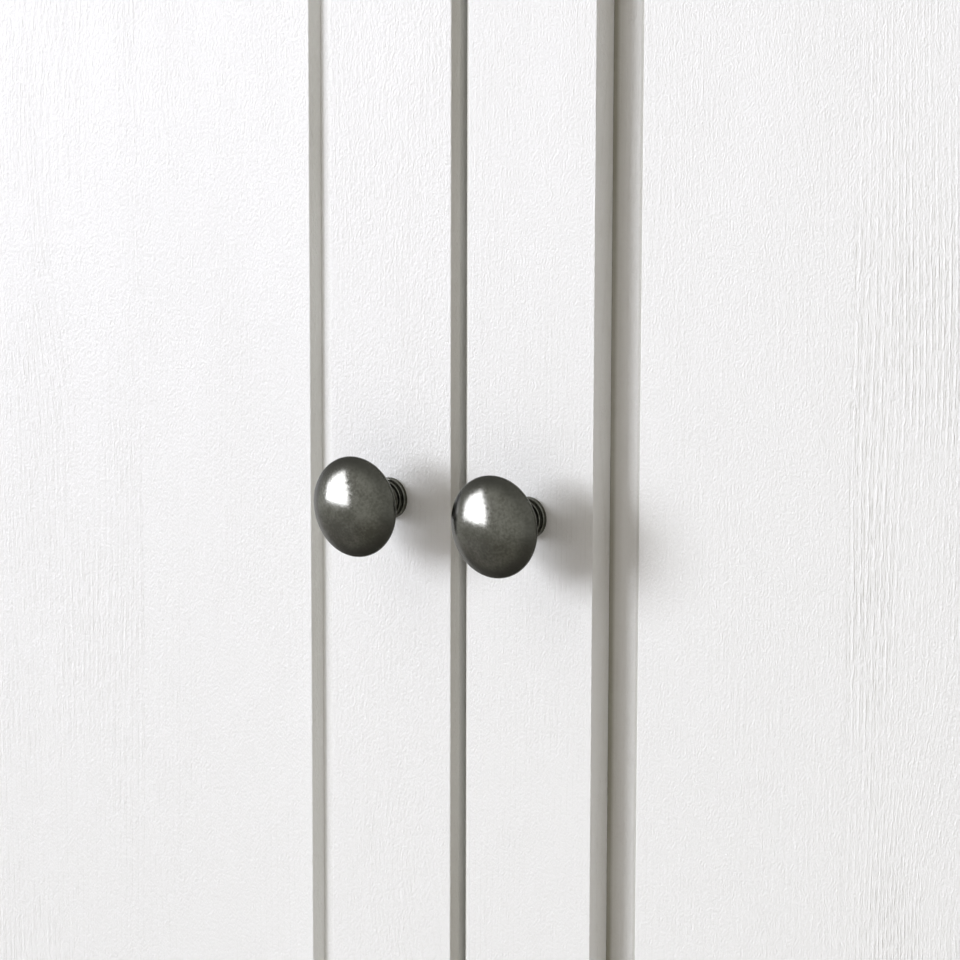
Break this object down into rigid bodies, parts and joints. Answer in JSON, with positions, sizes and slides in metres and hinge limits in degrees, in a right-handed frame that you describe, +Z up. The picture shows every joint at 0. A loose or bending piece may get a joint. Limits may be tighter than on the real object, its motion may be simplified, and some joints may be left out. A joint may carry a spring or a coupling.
{
  "type": "two-door panelled cupboard",
  "caption": "Free-standing white painted cupboard with framed and panelled doors, dark mushroom knobs, shelves and a moulded top.",
  "frame": {"origin": "on the floor, under the middle of the whole object's box", "axes": "+X to the right along the front, +Y from the front to the back, +Z up; the doors face -Y"},
  "size_m": [0.904, 0.4292, 1.106],
  "materials": {
    "white_paint": "painted white, brushed along the grain, satin",
    "pewter": "antique pewter plating on a die casting, satin",
    "hinge_metal": "antique pewter plating, satin",
    "plated_steel": "zinc plated",
    "catch_plastic": "moulded white plastic",
    "magnet": "bare ferrite"
  },
  "bodies": {
    "case": {"side_panel_left": "white_paint", "side_panel_right": "white_paint", "bottom_board": "white_paint", "ceiling_board": "white_paint", "back_panel": "white_paint", "back_rail": "white_paint", "frame_bottom_rail": "white_paint", "frame_top_rail": "white_paint", "frame_stile_left": "white_paint", "frame_stile_right": "white_paint", "top_board": "white_paint", "top_cleat_left": "white_paint", "top_cleat_right": "white_paint", "top_screws": "plated_steel", "cornice_front": "white_paint", "cornice_left": "white_paint", "cornice_right": "white_paint", "plinth_front": "white_paint", "plinth_left": "white_paint", "plinth_right": "white_paint", "plinth_back": "white_paint", "plinth_blocks": "white_paint", "shelf_lower": "white_paint", "shelf_upper": "white_paint", "shelf_pins": "plated_steel", "back_screws": "plated_steel", "frame_hinge_leaf_left_upper": "hinge_metal", "frame_hinge_leaf_left_lower": "hinge_metal", "frame_hinge_leaf_right_upper": "hinge_metal", "frame_hinge_leaf_right_lower": "hinge_metal", "frame_hinge_screws": "plated_steel", "hinge_pins": "hinge_metal", "catch_left": "catch_plastic", "catch_right": "catch_plastic", "catch_magnets": "magnet", "catch_screws": "plated_steel"},
    "left_door": {"left_top_rail": "white_paint", "left_bottom_rail": "white_paint", "left_hinge_stile": "white_paint", "left_meeting_stile": "white_paint", "left_panel": "white_paint", "left_knob": "pewter", "left_knob_screw": "plated_steel", "left_hinge_leaf_upper": "hinge_metal", "left_hinge_leaf_lower": "hinge_metal", "left_hinge_screws": "plated_steel", "left_strike_plate": "plated_steel", "left_strike_screw": "plated_steel"},
    "right_door": {"right_top_rail": "white_paint", "right_bottom_rail": "white_paint", "right_hinge_stile": "white_paint", "right_meeting_stile": "white_paint", "right_panel": "white_paint", "right_knob": "pewter", "right_knob_screw": "plated_steel", "right_hinge_leaf_upper": "hinge_metal", "right_hinge_leaf_lower": "hinge_metal", "right_hinge_screws": "plated_steel", "right_strike_plate": "plated_steel", "right_strike_screw": "plated_steel"}
  },
  "joints": [
    {"name": "left_door_hinge", "type": "hinge", "parent": "case", "child": "left_door", "pos_m": [-0.384, -0.19135, 0.5815], "axis": [0, 0, -1], "range_deg": [0, 170]},
    {"name": "right_door_hinge", "type": "hinge", "parent": "case", "child": "right_door", "pos_m": [0.384, -0.19135, 0.5815], "axis": [0, 0, 1], "range_deg": [0, 170]}
  ]
}
